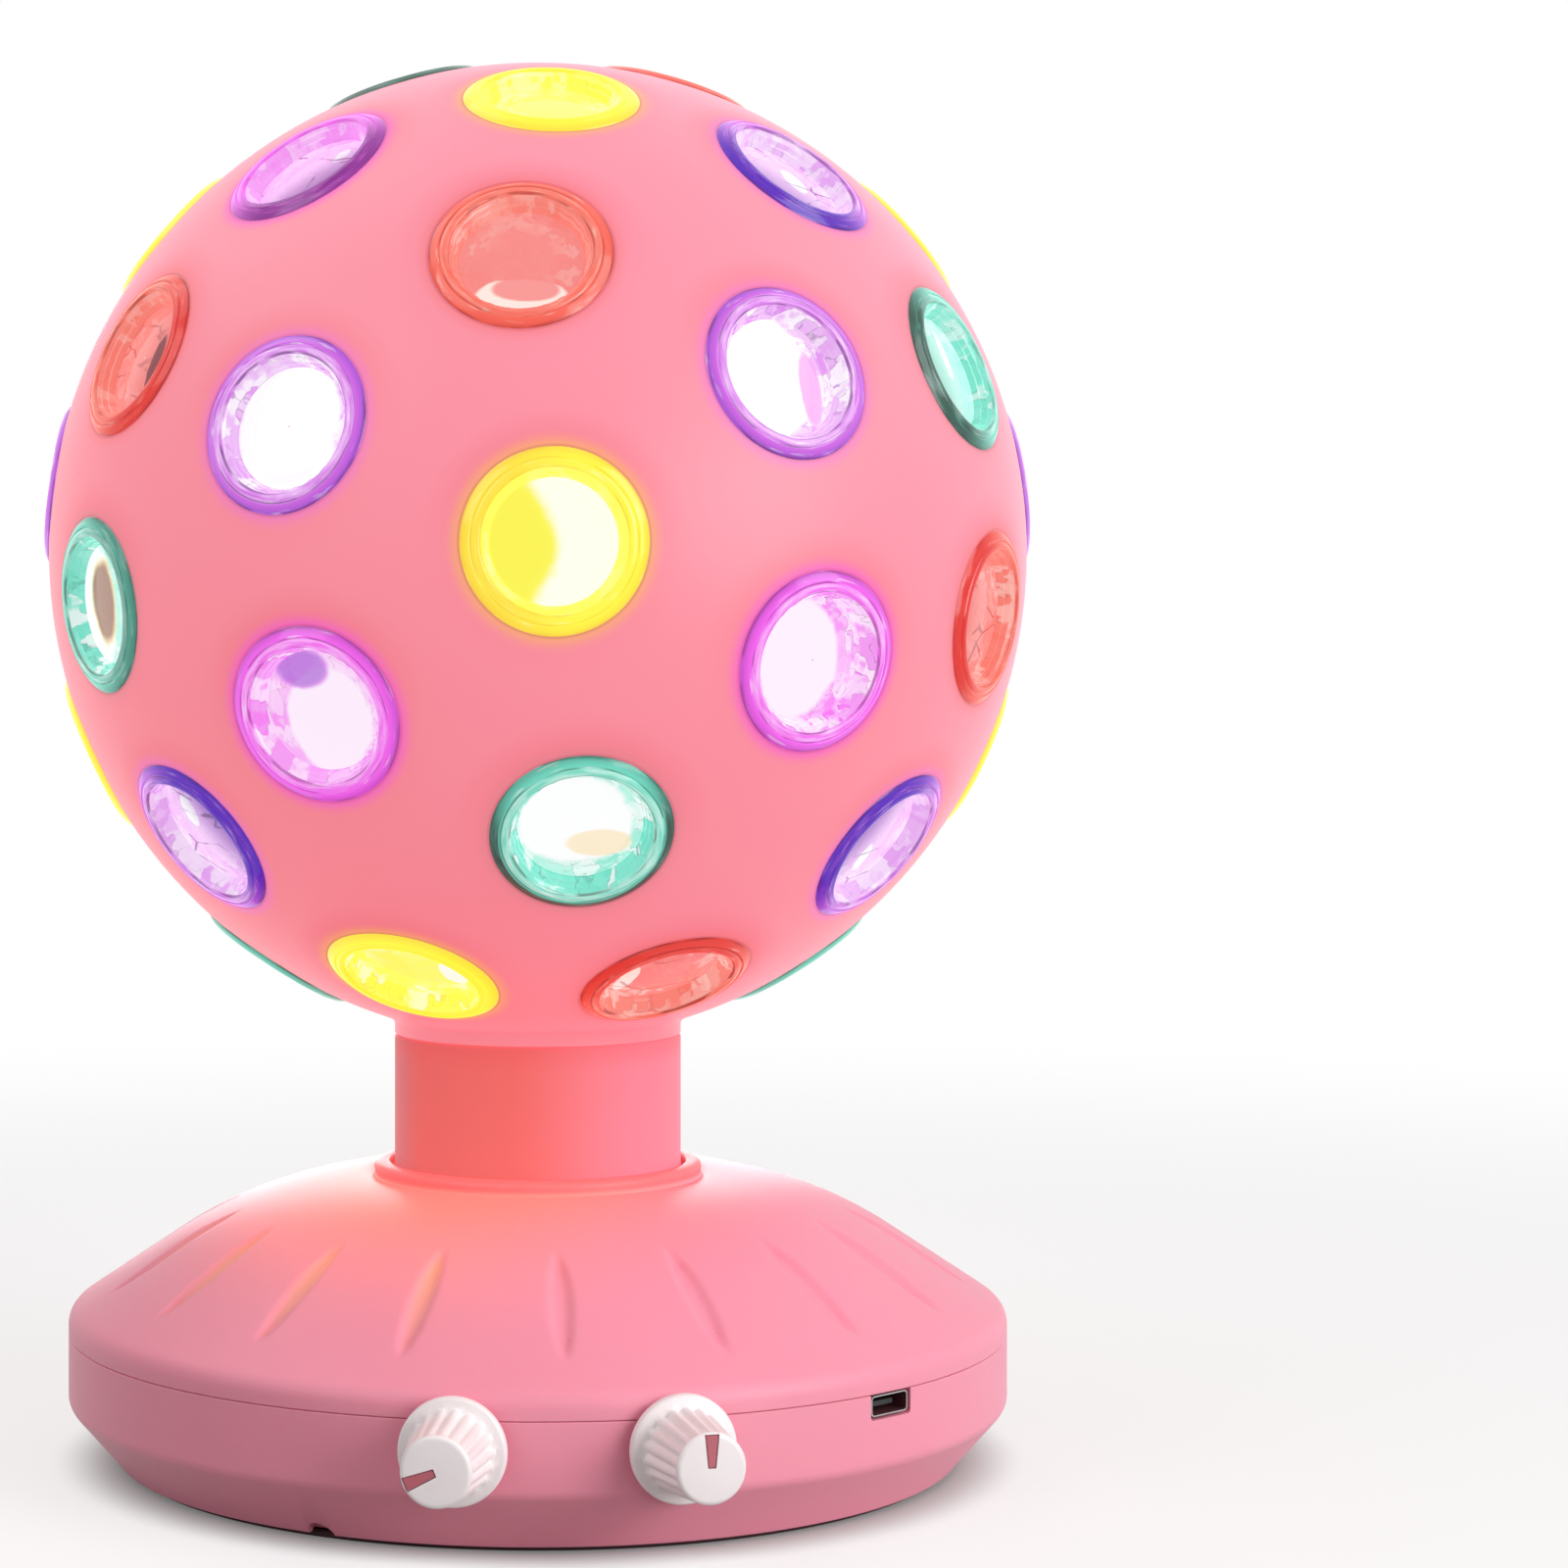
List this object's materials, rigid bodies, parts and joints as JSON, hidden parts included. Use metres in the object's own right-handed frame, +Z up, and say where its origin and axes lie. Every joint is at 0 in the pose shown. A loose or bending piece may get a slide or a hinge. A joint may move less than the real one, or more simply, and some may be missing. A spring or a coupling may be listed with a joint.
{
  "type": "led disco ball light",
  "caption": "Free-standing disco light: a translucent ball set with coloured lenses turns on a short neck above a fluted dome base with two control knobs.",
  "frame": {"origin": "middle of the foot pad's flat underside, on the ball's turning axis", "axes": "+Z up along the ball's turning axis, -Y the front of the base midway between the two knobs"},
  "size_m": [0.1544, 0.1619, 0.2149],
  "materials": {
    "ball_shell": "glossy translucent pink, lit from inside",
    "neck": "glossy translucent pink",
    "base_shell": "satin translucent pink",
    "lens_yellow": "clear tinted, glossy",
    "lens_red": "clear tinted, glossy",
    "lens_violet": "clear tinted, glossy",
    "lens_magenta": "clear tinted, glossy",
    "lens_green": "clear tinted, glossy",
    "foot_rubber": "matte",
    "white_plastic": "satin",
    "pointer_pink": "satin",
    "nylon": "natural nylon",
    "plated_steel": "nickel plated",
    "aluminium": "plain",
    "circuit_board": "solder mask",
    "black_plastic": "matte",
    "diffuser": "frosted"
  },
  "bodies": {
    "root": {"base_top_shell": "base_shell", "base_bottom_shell": "base_shell", "foot_pad": "foot_rubber", "case_screw_1": "plated_steel", "case_screw_2": "plated_steel", "case_screw_3": "plated_steel", "chassis_plate": "nylon", "thrust_washer": "nylon", "gear_motor": "plated_steel", "lamp_post": "aluminium", "heat_sink": "aluminium", "led_board": "circuit_board", "led_diffuser": "diffuser", "control_board": "circuit_board", "usb_socket": "plated_steel", "usb_contact_tongue": "black_plastic", "left_potentiometer": "black_plastic", "right_potentiometer": "black_plastic"},
    "ball": {"ball_front_shell": "ball_shell", "ball_rear_shell": "ball_shell", "neck_tube": "neck", "drive_gear": "nylon", "lens_front_centre": "lens_yellow", "lens_front_inner_1": "lens_red", "lens_front_inner_2": "lens_violet", "lens_front_inner_3": "lens_magenta", "lens_front_inner_4": "lens_green", "lens_front_inner_5": "lens_magenta", "lens_front_inner_6": "lens_violet", "lens_front_outer_1": "lens_yellow", "lens_front_outer_2": "lens_magenta", "lens_front_outer_3": "lens_red", "lens_front_outer_4": "lens_green", "lens_front_outer_5": "lens_violet", "lens_front_outer_6": "lens_yellow", "lens_front_outer_7": "lens_red", "lens_front_outer_8": "lens_violet", "lens_front_outer_9": "lens_red", "lens_front_outer_10": "lens_green", "lens_front_outer_11": "lens_violet", "lens_seam_1": "lens_green", "lens_seam_2": "lens_yellow", "lens_seam_3": "lens_violet", "lens_seam_4": "lens_yellow", "lens_seam_5": "lens_red", "lens_seam_6": "lens_green", "lens_seam_7": "lens_yellow", "lens_seam_8": "lens_violet", "lens_seam_9": "lens_yellow", "lens_seam_10": "lens_green", "rear_lens_cluster_inner": "lens_violet", "rear_lens_cluster_outer": "lens_violet"},
    "pinion": {"motor_pinion": "nylon", "motor_shaft": "plated_steel"},
    "left_control": {"left_knob": "white_plastic", "left_knob_pointer": "pointer_pink", "left_pot_shaft": "aluminium"},
    "right_control": {"right_knob": "white_plastic", "right_knob_pointer": "pointer_pink", "right_pot_shaft": "aluminium"}
  },
  "joints": [
    {"name": "ball_spin", "type": "hinge", "parent": "root", "child": "ball", "pos_m": [0, 0, 0.1385], "axis": [0, 0, 1], "continuous": true},
    {"name": "motor_pinion_spin", "type": "hinge", "parent": "root", "child": "pinion", "pos_m": [0, 0.033, 0.03425], "axis": [0, 0, 1], "continuous": true},
    {"name": "left_knob_turn", "type": "hinge", "parent": "root", "child": "left_control", "pos_m": [-0.01697, -0.07818, 0.0158], "axis": [0.2122, 0.9772, 0], "range_deg": [-37, 263]},
    {"name": "right_knob_turn", "type": "hinge", "parent": "root", "child": "right_control", "pos_m": [0.01697, -0.07818, 0.0158], "axis": [-0.2122, 0.9772, 0], "range_deg": [-150, 150]}
  ],
  "couplings": [
    {"joint": "motor_pinion_spin", "follows": "ball_spin", "ratio": -4}
  ]
}
